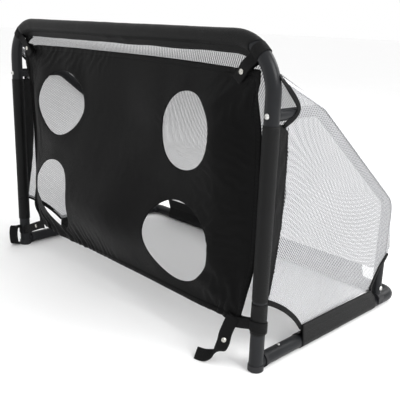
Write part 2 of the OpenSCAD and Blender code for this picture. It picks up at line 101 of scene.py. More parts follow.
# Net
YARN_PITCH = 0.0046
YARN_SHARE = 0.47
YARN_ANGLE = math.radians(55)
YARN_STEP = 0.011
WRAP_R = SUPPORT_R + 0.0010
NET_X = POST_X + WRAP_R
FLAP_TIP_X = POST_X + 0.0065

MM = 0.001
SIDES = {1: "right", -1: "left"}
GOAL = "goal"


def at(x, y, z):
    """A point given from the middle of the goal line on the floor, y running back from the post axes."""
    return Vector((x, POST_Y + y, z))


# ---- materials


class Nodes:
    """A short way to write one node material."""

    def __init__(self, name, base, rough, metallic=0.0, sheen=0.0, gloss=0.5):
        self.mat = bpy.data.materials.new(name)
        self.mat.use_nodes = True
        self.tree = self.mat.node_tree
        self.bsdf = self.tree.nodes["Principled BSDF"]
        given = {"Base Color": (*base, 1), "Roughness": rough, "Metallic": metallic, "Sheen Weight": sheen}
        given.update({"Sheen Roughness": 0.45, "Specular IOR Level": gloss})
        for socket, value in given.items():
            self.bsdf.inputs[socket].default_value = value
        self.height = None

    def add(self, kind, **values):
        node = self.tree.nodes.new("ShaderNode" + kind)
        for key, value in values.items():
            if hasattr(node, key):
                setattr(node, key, value)
            else:
                node.inputs[key.replace("_", " ")].default_value = value
        return node

    def link(self, a, b):
        self.tree.links.new(a, b)

    def coords(self, uv, scale=(1, 1, 1), angle=0.0):
        source = self.add("TexCoord").outputs["UV" if uv else "Object"]
        mapping = self.add("Mapping")
        mapping.inputs["Scale"].default_value = scale
        mapping.inputs["Rotation"].default_value = (0, 0, angle)
        self.link(source, mapping.inputs["Vector"])
        return mapping.outputs["Vector"]

    def noise(self, coords, scale, detail=3.0, rough=0.55):
        node = self.add("TexNoise", Scale=scale, Detail=detail, Roughness=rough)
        self.link(coords, node.inputs["Vector"])
        return node.outputs["Fac"]

    def wave(self, coords, scale, direction, distortion=0.0):
        node = self.add("TexWave", Scale=scale, Distortion=distortion)
        node.bands_direction = direction
        self.link(coords, node.inputs["Vector"])
        return node.outputs["Fac"]

    def math(self, operation, a, b):
        node = self.add("Math")
        node.operation = operation
        for socket, value in zip(node.inputs, (a, b)):
            if isinstance(value, (int, float)):
                socket.default_value = value
            else:
                self.link(value, socket)
        return node.outputs[0]

    def ramp(self, fac, low, high, a, b):
        node = self.add("ValToRGB")
        node.color_ramp.elements[0].position = low
        node.color_ramp.elements[1].position = high
        node.color_ramp.elements[0].color = (*a, 1)
        node.color_ramp.elements[1].color = (*b, 1)
        self.link(fac, node.inputs["Fac"])
        return node.outputs["Color"]

    def mask(self, fac, low, high, most=1.0):
        """From 0 where fac is low to most where it is high."""
        return self.ramp(fac, low, high, (0, 0, 0), (most, most, most))

    def mix(self, fac, a, b):
        node = self.add("Mix")
        node.data_type = "RGBA"
        self.link(fac, node.inputs["Factor"])
        self.link(a, node.inputs["A"])
        if isinstance(b, tuple):
            node.inputs["B"].default_value = (*b, 1)
        else:
            self.link(b, node.inputs["B"])
        return node.outputs["Result"]

    def colour(self, socket):
        self.link(socket, self.bsdf.inputs["Base Color"])

    def rough(self, fac, low, high):
        node = self.add("MapRange")
        node.inputs["To Min"].default_value = low
        node.inputs["To Max"].default_value = high
        self.link(fac, node.inputs["Value"])
        self.link(node.outputs["Result"], self.bsdf.inputs["Roughness"])

    def bump(self, height, distance, strength=1.0):
        node = self.add("Bump")
        node.inputs["Distance"].default_value = distance
        node.inputs["Strength"].default_value = strength
        self.link(height, node.inputs["Height"])
        if self.height is not None:
            self.link(self.height, node.inputs["Normal"])
        self.height = node.outputs["Normal"]
        self.link(self.height, self.bsdf.inputs["Normal"])


def scaled(colour, k):
    return tuple(min(1.0, c * k) for c in colour)


def powder_coat():
    base = (0.0125, 0.0132, 0.0148)
    m = Nodes("powder_coat", base, 0.42, gloss=0.17)
    here = m.coords(False)
    cloud = m.noise(here, 9.0, 4)
    fine = m.noise(here, 900.0, 2)
    tone = m.ramp(cloud, 0.3, 0.72, scaled(base, 0.82), scaled(base, 1.2))
    scuff = m.noise(m.coords(False, (1, 1, 0.35)), 150.0, 5, 0.7)
    rubbed = m.mask(scuff, 0.66, 0.76)
    m.colour(m.mix(rubbed, tone, scaled(base, 1.9)))
    m.rough(m.math("ADD", m.math("MULTIPLY", cloud, 0.6), m.math("MULTIPLY", rubbed, 0.3)), 0.28, 0.55)
    m.bump(fine, 0.00012, 0.5)
    m.bump(m.noise(here, 160.0, 3), 0.00015, 0.4)
    return m.mat


def plated(name, base, rough):
    m = Nodes(name, base, rough, metallic=1.0)
    here = m.coords(False)
    cloud = m.noise(here, 220.0, 4)
    m.colour(m.ramp(cloud, 0.3, 0.75, scaled(base, 0.7), scaled(base, 1.1)))
    m.rough(cloud, rough - 0.08, rough + 0.16)
    m.bump(m.noise(m.coords(False, (1, 1, 6)), 700.0, 2), 0.00006, 0.6)
    return m.mat


def moulded_nylon():
    base = (0.012, 0.012, 0.0135)
    m = Nodes("moulded_nylon", base, 0.5, gloss=0.25)
    here = m.coords(False)
    cloud = m.noise(here, 30.0, 4)
    m.colour(m.ramp(cloud, 0.3, 0.7, scaled(base, 0.8), scaled(base, 1.5)))
    m.rough(cloud, 0.42, 0.62)
    m.bump(m.noise(here, 1500.0, 2), 0.00008, 0.7)
    return m.mat


def woven(name, base, thread, sheen, rough, dust, gloss):
    """Plain weave of threads so many per metre, laid along the UV map, which is in metres."""
    m = Nodes(name, base, rough, sheen=sheen, gloss=gloss)
    uv = m.coords(True)
    weave = m.math("MAXIMUM", m.wave(uv, thread, "X"), m.wave(uv, thread, "Y"))
    cloud = m.noise(m.coords(False), 7.0, 5)
    slub = m.noise(m.coords(True, (1, 12, 1)), 90.0, 3)
    tone = m.ramp(cloud, 0.32, 0.74, scaled(base, 0.8), scaled(base, dust))
    streak = m.mix(m.mask(slub, 0.5, 0.8, 0.5), tone, scaled(base, 1.5))
    lit = m.mix(m.mask(weave, 0.55, 1.0, 0.35), streak, scaled(base, 1.6))
    m.colour(lit)
    m.rough(cloud, rough - 0.08, rough + 0.1)
    m.bump(weave, 0.0002, 0.5)
    m.bump(m.noise(m.coords(True), 60.0, 4), 0.0009, 0.35)
    return m.mat


def ribbed(name, base, rib, rough):
    """Narrow woven tape with ribs across it; the UV map runs along the tape in metres."""
    m = Nodes(name, base, rough, gloss=0.1)
    uv = m.coords(True)
    ribs = m.wave(uv, rib, "Y")
    twill = m.wave(m.coords(True, angle=0.6), rib * 1.6, "X")
    cloud = m.noise(m.coords(False), 25.0, 4)
    tone = m.ramp(cloud, 0.3, 0.75, scaled(base, 0.8), scaled(base, 1.5))
    m.colour(m.mix(m.mask(ribs, 0.4, 1.0, 0.5), tone, scaled(base, 1.8)))
    m.rough(cloud, rough - 0.08, rough + 0.1)
    m.bump(ribs, 0.0004, 0.5)
    m.bump(twill, 0.0002, 0.4)
    return m.mat


def yarn(name, base):
    m = Nodes(name, base, 0.55, sheen=0.1, gloss=0.3)
    uv = m.coords(True)
    strand = m.wave(uv, 700.0, "X", 1.5)
    cloud = m.noise(m.coords(False), 5.0, 4)
    tone = m.ramp(cloud, 0.3, 0.75, scaled(base, 0.93), scaled(base, 1.04))
    m.colour(m.mix(m.ramp(strand, 0.0, 0.4, (0.35, 0.35, 0.35), (0, 0, 0)), tone, scaled(base, 0.8)))
    m.rough(cloud, 0.45, 0.7)
    m.bump(strand, 0.0002, 0.5)
    m.bsdf.inputs["Subsurface Weight"].default_value = 0.15
    m.bsdf.inputs["Subsurface Radius"].default_value = (0.002, 0.002, 0.002)
    return m.mat


CAD_FINISH = {
    "frame_paint": powder_coat(),
    "zinc": plated("zinc_plate", (0.68, 0.68, 0.66), 0.3),
    "spring_steel": plated("spring_strip", (0.4, 0.4, 0.41), 0.35),
    "nylon": moulded_nylon(),
}
NICKEL = plated("nickel_stud", (0.55, 0.54, 0.5), 0.22)
SLEEVE_CLOTH = woven("sleeve_weave", (0.0054, 0.0055, 0.0056), 1500.0, 0.0, 0.46, 1.7, gloss=0.12)
TARGET_CLOTH = woven("target_weave", (0.0024, 0.0024, 0.0025), 1700.0, 0.0, 0.42, 1.6, gloss=0.07)
TAPE = ribbed("binding_ribs", (0.0035, 0.0035, 0.0037), 900.0, 0.6)
WEBBING = ribbed("webbing_ribs", (0.0045, 0.0045, 0.0047), 600.0, 0.6)
MESH_YARN = yarn("mesh_yarn", (0.46, 0.463, 0.476))
# Same yarn as the net, painted lighter: a painted highlight that makes the seam allowance look brightly lit
MESH_YARN_PAINTED_LIGHT = yarn("mesh_yarn_painted_light", (0.68, 0.683, 0.70))
MESH_TAPE = woven("white_tape", (0.6, 0.605, 0.63), 900.0, 0.1, 0.6, 1.1, gloss=0.3)
THREAD = ribbed("sewing_thread", (0.035, 0.035, 0.037), 2500.0, 0.5)


def dress_cad_nodes():
    for part in frame["record"]["subparts"]:
        finish = CAD_FINISH.get(part["material_slot"])
        if finish is None:
            continue
        node = frame["nodes"][part["node"]]
        if not node.material_slots:
            node.data.materials.append(finish)
        for material_slot in node.material_slots:
            material_slot.material = finish


# ---- mesh helpers


def placed(name, data):
    """A new object of the scene that holds this data."""
    obj = bpy.data.objects.new(name, data)
    bpy.context.collection.objects.link(obj)
    return obj


def piece(name, verts, faces, material, uvs, replaces=()):
    """A mesh piece of the goal in the row frame; uvs holds one (u, v) for each corner of each face."""
    mesh = bpy.data.meshes.new(name)
    mesh.from_pydata([tuple(v) for v in verts], [], faces)
    layer = mesh.uv_layers.new(name="cloth")
    layer.data.foreach_set("uv", np.asarray(uvs, np.float32).ravel())
    mesh.materials.append(material)
    mesh.shade_smooth()
    mesh.validate()
    obj = placed(name, mesh)
    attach(obj, GOAL)
    if replaces:
        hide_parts(*replaces)
    return obj


def lengths(points):
    """Distance along a row of points, from its first."""
    steps = [0.0]
    for a, b in zip(points, points[1:]):
        steps.append(steps[-1] + (b - a).length)
    return steps


class Builder:
    """Collects quads from several grids into one mesh."""

    def __init__(self):
        self.verts, self.faces, self.uvs = [], [], []

    def grid(self, rows, closed=False):
        """Joins rows of equal length; closed joins each row's last point to its first."""
        start = len(self.verts)
        count = len(rows[0])
        ring = list(rows[0]) + ([rows[0][0]] if closed else [])
        along_u = lengths(ring)
        along_v = lengths([row[0] for row in rows])
        for row in rows:
            self.verts.extend(row)
        for i in range(len(rows) - 1):
            for j in range(count if closed else count - 1):
                k = (j + 1) % count
                a, b = start + i * count, start + (i + 1) * count
                self.faces.append((a + j, a + k, b + k, b + j))
                u0, u1, v0, v1 = *along_u[j : j + 2], *along_v[i : i + 2]
                self.uvs.extend([(u0, v0), (u1, v0), (u1, v1), (u0, v1)])
        return start

    def cap(self, start, count, flip=False):
        ring = list(range(start, start + count))
        self.faces.append(ring[::-1] if flip else ring)
        self.uvs.extend([(0.0, 0.0)] * count)

    def tube(self, rings):
        """Joins closed rings of equal length and caps both ends."""
        start, count = self.grid(rings, closed=True), len(rings[0])
        self.cap(start, count, flip=True)
        self.cap(start + count * (len(rings) - 1), count)

    def make(self, name, material, slot, replaces=()):
        return piece(name, self.verts, self.faces, material, self.uvs, replaces)


def thicken(obj, thickness, offset=-1.0):
    modifier = obj.modifiers.new("thickness", "SOLIDIFY")
    modifier.thickness = thickness
    modifier.offset = offset
    return obj


def spline(points, step):
    """A smooth line through the points, sampled about every step."""
    points = [Vector(p) for p in points]
    ends = [2 * points[0] - points[1], *points, 2 * points[-1] - points[-2]]
    out = []
    for i in range(1, len(ends) - 2):
        a, b, c, d = ends[i - 1 : i + 3]
        count = max(2, math.ceil((c - b).length / step))
        for k in range(count):
            t = k / count
            square, cube = 2 * a - 5 * b + 4 * c - d, 3 * b - a - 3 * c + d
            out.append(0.5 * ((2 * b) + (c - a) * t + square * t**2 + cube * t**3))
    out.append(points[-1])
    return out


def rounded(corners, radius):
    """A 2D line through the corners with its inner corners rounded to a radius."""
    step = 0.004
    corners = [Vector(c) for c in corners]
    out = [corners[0]]
    for a, b, c in zip(corners, corners[1:], corners[2:]):
        before, after = (b - a).normalized(), (c - b).normalized()
        turn = before.angle(after)
        cut = min(radius * math.tan(turn / 2), 0.45 * (b - a).length, 0.45 * (c - b).length)
        first, last = b - before * cut, b + after * cut
        count = max(2, math.ceil(turn * radius / step))
        for k in range(count + 1):
            t = k / count
            out.append(first * (1 - t) ** 2 + b * 2 * t * (1 - t) + last * t**2)
    out.append(corners[-1])
    return out


def full_turn(count):
    """Evenly spaced angles round a circle."""
    return np.linspace(0, 2 * math.pi, count, endpoint=False)


def blended(s, marks, vectors):
    """The vector at s, between the vectors that belong to rising marks."""
    return Vector(tuple(np.interp(s, marks, column) for column in zip(*vectors)))


def resampled(line, step):
    """The same line with evenly spaced points."""
    along = lengths(line)
    count = max(2, math.ceil(along[-1] / step) + 1)
    return [blended(s, along, line) for s in np.linspace(0, along[-1], count)]


def wobble(x, y, z, size, seed=0.0):
    """Smooth repeatable noise from -1 to 1 with features of about this size in metres."""
    return noise.noise(Vector((x / size + seed, y / size - seed, z / size + 2.3 * seed)))


def band(path, sides, width, thickness, name, material, slot, replaces=()):
    """A flat strap with rounded edges that follows path; sides gives the direction across at each point."""
    build = Builder()
    half_w, half_t = width / 2, thickness / 2
    across = [(-1, 0), (-0.94, 0.8), (-0.6, 1), (0, 1.06), (0.6, 1), (0.94, 0.8), (1, 0)]
    section = across + [(a, -b) for a, b in across[-2:0:-1]]
    rows = []
    for i, p in enumerate(path):
        ahead = path[min(i + 1, len(path) - 1)] - path[max(i - 1, 0)]
        side = (sides[i] - ahead * (sides[i].dot(ahead) / max(ahead.length_squared, 1e-12))).normalized()
        up = ahead.normalized().cross(side)
        row = [p + side * (a * half_w) + up * (b * half_t) for a, b in section]
        rows.append([Vector((v.x, v.y, max(v.z, FLOOR_GAP))) for v in row])
    build.tube(rows)
    build.make(name, material, slot, replaces)


def stitch_row(build, path, facing):
    """Short thread stitches along a path, lying on the side that faces this way."""
    step, size = 0.0048, 0.00032
    along = lengths(path)
    up = Vector(facing).normalized()
    ring = [(math.cos(q), math.sin(q)) for q in full_turn(6)]
    for k in range(int(along[-1] / step)):
        a, b = (blended(s, along, path) for s in (k * step, k * step + step * 0.62))
        side = (b - a).normalized().cross(up)
        rows = []
        for t, thick in ((0.0, 0.45), (0.2, 1.0), (0.8, 1.0), (1.0, 0.45)):
            middle = a.lerp(b, t) + up * (size * (0.1 + 0.9 * math.sin(math.pi * t)))
            rows.append([middle + (side * c + up * d) * (size * thick) for c, d in ring])
        build.grid(rows, closed=True)


# ---- sleeves of the net


ROUND_POINTS = 26
WALL_POINTS = 7


def swell_at(x):
    """How much thicker a flap's root is where it goes over a middle joint's hidden button and rivet."""
    return BUTTON_SWELL * sum(math.exp(-(((x - mark) / 0.018) ** 2)) for mark in (BUTTON_X, -BUTTON_X))


def sleeve_section(flap, swell=0.0):
    """Outline of cloth round a tube, closed into a flap that reaches from the axis to the 2D vector flap."""
    reach = flap.length
    if reach < SLEEVE_R + 0.004:
        turns = full_turn(ROUND_POINTS + 2 * WALL_POINTS)
        return [SLEEVE_R * Vector((math.cos(a), math.sin(a))) for a in turns]
    opening = math.radians(52)
    root = SLEEVE_R * (math.cos(opening) + 0.35)
    shares = np.linspace(0, 1, WALL_POINTS, endpoint=False)
    wall = [Vector((reach + (root - reach) * t, FLAP_HALF_T + swell * t * t)) for t in shares]
    turns = np.linspace(opening, 2 * math.pi - opening, ROUND_POINTS)
    outline = wall + [SLEEVE_R * Vector((math.cos(a), math.sin(a))) for a in turns]
    outline += [Vector((p.x, -p.y)) for p in wall[::-1]]
    turn = Matrix.Rotation(math.atan2(flap.y, flap.x), 2)
    return [turn @ p for p in outline]


def declare_sleeve(rows):
    """Works out the strip each sleeve was cut from: as long as the sleeve, as wide as its section's outline;
    the sizes are not kept.
    """
    wide = sum(lengths(row + row[:1])[-1] for row in rows) / len(rows)
    centres = [sum(row, Vector()) / len(row) for row in rows]
    lengths(centres)[-1]


def ruffle(point, outward, amount, size, seed):
    """Cloth never lies dead flat: push a point out by repeatable noise."""
    low = wobble(*point, size, seed)
    fine = wobble(*point, size * 0.35, seed + 7)
    return point + outward * (amount * (0.7 * low + 0.3 * fine + 0.35))


def sleeve(name, stations, to_world, amount=0.0011, floor=False):
    """stations lists (distance along the tube, flap vector, swell); to_world maps (s, a, b) to a point."""
    rows = []
    for s, flap, swell in stations:
        row = []
        middle = to_world(s, 0, 0)
        for p in sleeve_section(flap, swell):
            world = to_world(s, p.x, p.y)
            outward = (world - middle).normalized()
            near_tip = p.length > SLEEVE_R * 1.02
            world = ruffle(world, outward, amount * (0.25 if near_tip else 1.0), 0.05, len(name))
            if floor:
                world.z = max(world.z, 0.0006 + CLOTH_T * 0.2)
            row.append(world)
        rows.append(row)
    build = Builder()
    build.grid(rows, closed=True)
    obj = build.make(name, SLEEVE_CLOTH, "sleeve_cloth", (name,))
    declare_sleeve(rows)
    return thicken(obj, CLOTH_T)


def bar_drop(x):
    """How far the bent frame tube is below the crossbar's height at this x."""
    past = min(abs(x) - (POST_X - CORNER_R), CORNER_R)
    return CORNER_R - math.sqrt(CORNER_R**2 - past**2) if past > 0 else 0.0


def on_bar(u, a, b):
    """A point a behind and b above the front tube's axis, u metres along it from the crossbar's middle."""
    straight = min(abs(u), POST_X - CORNER_R)
    turn = (abs(u) - straight) / CORNER_R
    x = straight + (CORNER_R + b) * math.sin(turn)
    return at(math.copysign(x, u), a, BAR_Z - CORNER_R + (CORNER_R + b) * math.cos(turn))


def top_sleeve(stitches):
    """The sleeve along the crossbar: it runs a little way round both corners and is cut at a slant there."""
    hang = BAR_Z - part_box("top_sleeve")[0][2]
    end_u = 0.452
    slant_from = 0.35
    slant = 0.57
    stations = []
    for u in np.linspace(-end_u, end_u, 116):
        sag = 0.0016 * wobble(u, 0, 0, 0.09, 3) - 0.001
        lean = 0.004 + 0.002 * wobble(u, 1, 0, 0.2, 5)
        stations.append((u, Vector((lean, -(hang + sag))), swell_at(u)))

    def world(u, a, b):
        share = min(1.0, max(0.0, (abs(u) - slant_from) / (end_u - slant_from)))
        return on_bar(u + math.copysign(slant * share * b, u), a, b)

    obj = sleeve("top_sleeve", stations, world, amount=0.0008)
    for z_off in (0.004, 0.014):
        for side in (-1, 1):
            places = np.linspace(-end_u + 0.004, end_u - 0.004, 60)
            proud = [0.0016 + swell_at(u) * z_off / 0.028 for u in places]
            line = [world(u, 0.0035 + side * out, z_off - hang) for u, out in zip(places, proud)]
            stitch_row(stitches, line, (0, side, 0))
    return obj


def post_flap(z):
    """How far the post sleeve's flap reaches behind the post axis at this height: it bellies out halfway."""
    low_z, high_z = 0.160, 0.540
    t = min(1.0, max(0.0, (z - low_z) / (high_z - low_z)))
    return 0.020 + 0.030 * math.sin(0.5 * math.pi * min(1.0, t / 0.65)) - 0.005 * max(0.0, (t - 0.8) / 0.2)


def post_sleeve(s, stitches):
    """The long sleeve round a post: a plain tube at its foot, and with a flap behind from there up."""
    side = SIDES[s]
    name = f"post_sleeve_{side}"
    low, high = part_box(name)
    joined_z = 0.160
    tip_out = FLAP_TIP_X - POST_X

    def world(z, a, b):
        crease = 0.0022 * wobble(z, b * 3, s, 0.028, 4) * min(1.0, max(0.0, (b - 0.012) / 0.02))
        return at(s * (POST_X + a + crease), b, z)

    build = Builder()
    all_rows = []
    for z0, z1, count in ((low[2], joined_z - 0.001, 22), (joined_z, high[2], 62)):
        rows = []
        for z in np.linspace(z0, z1, count):
            flap = Vector((0, 0))
            if z >= joined_z:
                flap = Vector((tip_out, post_flap(z) + 0.0015 * wobble(z, s, 0, 0.05, 2)))
            row = []
            for p in sleeve_section(flap):
                point = world(z, p.x, p.y)
                outward = Vector((s * p.x, p.y, 0)).normalized()
                amount = 0.0002 if p.length > SLEEVE_R * 1.02 else 0.0007
                row.append(ruffle(point, outward, amount, 0.045, 11 + s))
            rows.append(row if s > 0 else row[::-1])
        build.grid(rows, closed=True)
        all_rows += rows
    obj = build.make(name, SLEEVE_CLOTH, "sleeve_cloth", (name,))
    declare_sleeve(all_rows)
    thicken(obj, CLOTH_T)
    for back in (0.004, 0.022):
        places = np.linspace(joined_z + 0.01, high[2] - 0.004, 60)
        line = [world(z, tip_out - 0.1 * back + 0.0016, post_flap(z) - back) for z in places]
        stitch_row(stitches, line, (s, 0, 0))
    return obj


def base_sleeve(s, stitches):
    """The sleeve round one side of the base; its flap slopes down to the tube at the rear end."""
    side = SIDES[s]
    name = f"base_sleeve_{side}"
    low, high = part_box(name)
    y0, y1 = low[1] - POST_Y, high[1] - POST_Y
    slope_y = y1 - 0.030
    tip_out = 0.0125

    def rise(y):
        fall = 0.55 * max(0.0, (y - slope_y) / (y1 - slope_y))
        return (FLAP_TOP_Z - BASE_Z - 0.001) * (1 - fall) + 0.001 * wobble(y, s, 1, 0.05, 6)

    stations = [(y, Vector((tip_out, rise(y))), 0.0) for y in np.linspace(y0, y1, 60)]
    if s > 0:
        stations = stations[::-1]

    def place(y, a, b):
        share = b / rise(y)
        if share > 0 and a > tip_out * share:
            a = max(a, SLEEVE_R + (tip_out - SLEEVE_R) * share)
        return at(s * (POST_X + a), y, BASE_Z + b)

    obj = sleeve(name, stations, place, amount=0.0006, floor=True)
    for down in (0.004, 0.020):
        line = []
        for y in np.linspace(y0 + 0.004, slope_y, 40):
            line.append(at(s * (POST_X + tip_out + 0.0013 + 0.09 * down), y, BASE_Z + rise(y) - down))
        stitch_row(stitches, line, (s, 0, 0))
    return obj


def rear_sleeve(stitches):
    low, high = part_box("rear_sleeve")
    tip = Vector((REAR_FLAP_Y - BASE_DEPTH, REAR_FLAP_Z - BASE_Z))
    stations = []
    for x in np.linspace(low[0], high[0], 100):
        lift = 0.0015 * wobble(x, 2, 1, 0.07, 6)
        stations.append((x, tip + Vector((0.001 * wobble(x, 3, 0, 0.1, 9), lift)), swell_at(x)))

    def place(x, a, b):
        return at(x, BASE_DEPTH + a, BASE_Z + b)

    obj = sleeve("rear_sleeve", stations, place, amount=0.0008, floor=True)
    for down in (0.005, 0.03):
        for side in (-1, 1):
            y = BASE_DEPTH + tip.x + 0.235 * down + side * 0.0016
            places = np.linspace(low[0] + 0.004, high[0] - 0.004, 60)
            line = [at(x, y, BASE_Z + tip.y - down) for x in places]
            stitch_row(stitches, line, (0, side, 0.2))
    return obj


# ---- mesh panels


def clipped(start, ahead, polygon):
    """The stretches of the line from start along ahead that are inside a 2D polygon."""
    normal = np.array((-ahead[1], ahead[0]))
    side = (polygon - start) @ normal
    following = np.roll(side, -1)
    crossing = (side > 0) != (following > 0)
    a, b = polygon[crossing], np.roll(polygon, -1, axis=0)[crossing]
    share = (side / np.where(side == following, 1, side - following))[crossing][:, None]
    hits = np.sort(((a + (b - a) * share) - start) @ ahead)
    return list(zip(hits[::2], hits[1::2]))


def lattice(build, polygon, place, pitch=YARN_PITCH, share=YARN_SHARE, angle=YARN_ANGLE):
    """Two families of crossing yarns over a flat polygon, laid on the surface place(a, b, lift)."""
    polygon = np.array([tuple(p) for p in polygon], float)
    half = pitch * share / 2
    for family, turn in enumerate((angle, math.pi - angle)):
        ahead = np.array((math.cos(turn), math.sin(turn)))
        normal = np.array((-ahead[1], ahead[0]))
        reach = polygon @ normal
        lift = 0.00022 if family else -0.00022
        for k in range(math.ceil(reach.min() / pitch), math.floor(reach.max() / pitch) + 1):
            for s0, s1 in clipped(normal * (k * pitch), ahead, polygon):
                if s1 - s0 < pitch * 0.3:
                    continue
                count = max(1, math.ceil((s1 - s0) / YARN_STEP))
                rows = []
                for s in np.linspace(s0, s1, count + 1):
                    middle = normal * (k * pitch) + ahead * s
                    rows.append([place(*(middle + normal * side), lift) for side in (-half, half)])
                build.grid(rows)


REAR_APEX_Z = 0.152
TOP_CUT_X = 0.440
REAR_CUT_X = POST_X - 0.034
CORNER_DROP = 0.042
KNEE_BACK_Y = 0.174

BACK_HIP_Z = 0.302
BACK_CORNERS = [(0.017, 0.674), (0.160, 0.570), (HIP[0] + WRAP_R, BACK_HIP_Z), (REAR_FLAP_Y, REAR_FLAP_Z)]
BACK_PROFILE = rounded(BACK_CORNERS, 0.075)
BACK_LENGTHS = lengths(BACK_PROFILE)
BACK_LENGTH = BACK_LENGTHS[-1]
BACK_HIP = min(range(len(BACK_PROFILE)), key=lambda i: abs(BACK_PROFILE[i].y - BACK_HIP_Z))
HIP_S = BACK_LENGTHS[BACK_HIP]
CUT_S = float(np.interp(-REAR_APEX_Z - 0.008, [-p.y for p in BACK_PROFILE], BACK_LENGTHS))


def on_profile(s):
    """Depth and height of the back panel's profile s metres down the cloth."""
    return np.array([np.interp(s, BACK_LENGTHS, [p[k] for p in BACK_PROFILE]) for k in (0, 1)])


def back_place(x, s, lift=0.0):
    """A point of the top and back panel: x across, s metres of cloth from the crossbar."""
    s = min(max(s, 0.0), BACK_LENGTH)
    y, z = on_profile(s)
    dy, dz = on_profile(min(s + 0.01, BACK_LENGTH)) - on_profile(max(s - 0.01, 0.0))
    out = Vector((-dz, dy)).normalized()
    middle = max(0.0, 1 - (x / 0.5) ** 2)
    if s < HIP_S:
        span = math.sin(math.pi * s / HIP_S)
    else:
        span = 0.5 * math.sin(math.pi * (s - HIP_S) / (BACK_LENGTH - HIP_S))
    pull = -0.012 * middle * span
    pull += 0.0035 * wobble(x, s, 0, 0.16, 8) * min(1.0, 4 * middle) * abs(span)
    pull += 0.0006 * wobble(x * 0.6, s, 0, 0.07, 12) * min(1.0, 3 * middle)
    z -= min(bar_drop(x), CORNER_DROP) * max(0.0, 1 - y / KNEE_BACK_Y)
    return at(x, y + out.x * (pull + lift), z + out.y * (pull + lift))


# The seam line of the side panel: behind the frame's corner, then along the support tube
EDGE = resampled(rounded([(0.004, 0.622), KNEE, HIP, (SUPPORT_BACK, 0.100)], 0.06), 0.005)
EDGE_POINTS = np.array([tuple(p) for p in EDGE])
EDGE_AHEAD = np.gradient(EDGE_POINTS, axis=0)
EDGE_OUT = np.stack([-EDGE_AHEAD[:, 1], EDGE_AHEAD[:, 0]], axis=1)
EDGE_OUT /= np.linalg.norm(EDGE_OUT, axis=1)[:, None]
BRIM = WRAP_R * math.pi / 2 * 0.96

UPPER_CUT = [(0.008, 0.628), (0.034, 0.603), (0.063, 0.571), (0.057, 0.553), (0.029, 0.536)]
REAR_CUT = [(0.502, REAR_APEX_Z), (0.490, 0.147), (0.466, 0.126), (0.448, 0.098), (0.434, 0.069)]
ARC_ENDS = [(0.014, 0.160), (0.144, 0.056)]
ARC_R = 0.370


def bow(a, b, radius, count=20):
    """Points from a to b on an arc of this radius that bulges away from the origin."""
    a, b = Vector(a), Vector(b)
    half = (b - a) / 2
    out = Vector((-half.y, half.x)).normalized()
    middle = a + half - out * math.sqrt(radius**2 - half.length_squared)
    first, last = (math.atan2(*reversed(p - middle)) for p in (a, b))
    return [middle + radius * Vector((math.cos(t), math.sin(t))) for t in np.linspace(first, last, count)]


def side_offset(y, z):
    """How far in from the support tube's outer face the side panel lies near its sleeves."""
    edge = min(max(0.0, y - post_flap(z)), max(0.0, z - FLAP_TOP_Z))
    fade = min(1.0, max(0.0, (0.565 - z) / 0.03))
    return fade * (NET_X - FLAP_TIP_X - 0.001) * math.exp(-edge / 0.045)


def side_place(s, y, z, lift=0.0):
    """A point of the side panel; past the seam line the cloth bends over the tube."""
    k = int(np.argmin(np.hypot(EDGE_POINTS[:, 0] - y, EDGE_POINTS[:, 1] - z)))
    out = EDGE_OUT[k]
    past = (y - EDGE_POINTS[k, 0]) * out[0] + (z - EDGE_POINTS[k, 1]) * out[1]
    slack = min(1.0, max(0.0, -past / 0.05))
    puff = slack * 0.0014 * (wobble(y, z, s, 0.17, 5) + 0.6)
    if past <= 0:
        return at(s * (NET_X - side_offset(y, z) + puff + lift), y, z)
    reach = WRAP_R + lift
    turn = past / WRAP_R
    shift = reach * math.sin(turn) - past
    return at(s * (POST_X + reach * math.cos(turn)), y + out[0] * shift, z + out[1] * shift)


def beside_edge(past, last_z=REAR_APEX_Z):
    """Points beside the seam line, past it by this much, down to a height."""
    return [tuple(p + out * past) for p, out in zip(EDGE_POINTS, EDGE_OUT) if p[1] > last_z]


def side_outline():
    front = [(post_flap(z) - 0.002, z) for z in np.linspace(0.18, 0.52, 16)]
    arc = [tuple(p) for p in bow(*ARC_ENDS, ARC_R)]
    return UPPER_CUT[::-1] + beside_edge(BRIM) + REAR_CUT + arc[::-1] + front


def side_net(s):
    side = SIDES[s]
    name = f"side_net_{side}"
    build = Builder()
    outline = side_outline()
    lattice(build, outline, lambda y, z, lift: side_place(s, y, z, lift))
    obj = build.make(name, MESH_YARN, "net_mesh", (name,))
    seam(s, side)


def seam(s, side):
    """The seam allowance: a second layer of mesh outside the seam line, and the line of sewing itself."""

    def place(y, z, lift):
        return side_place(s, y, z, lift + 0.0006)

    allowance = Builder()
    strip = beside_edge(0.0045) + beside_edge(BRIM)[::-1]
    lattice(allowance, strip, place, share=0.92, angle=math.radians(38))
    # The allowance uses the lighter copy of the yarn: painted light on the seam band
    allowance.make(f"seam_allowance_{side}", MESH_YARN_PAINTED_LIGHT, "net_mesh")
    sewn = Builder()
    low, high = 0.0003, 0.0016
    rows = []
    for a, b in zip(beside_edge(0.0042), beside_edge(0.0064)):
        rows.append([side_place(s, *p, lift) for p, lift in ((a, low), (a, high), (b, high), (b, low))])
    sewn.grid(rows, closed=True)
    sewn.make(f"seam_line_{side}", MESH_TAPE, "net_mesh")


def back_outline():
    """The cut of the back panel: (x, distance down the cloth)."""
    right = [(POST_X + 0.001, 0.0), (POST_X + 0.001, CUT_S), (REAR_CUT_X, BACK_LENGTH)]
    return [(-x, s) for x, s in right] + right[::-1]


def back_net():
    build = Builder()
    outline = back_outline()
    lattice(build, outline, back_place, pitch=0.0043, angle=math.radians(47))
    obj = build.make("back_net", MESH_YARN, "net_mesh", ("back_net",))


# ---- black binding of the cut-outs


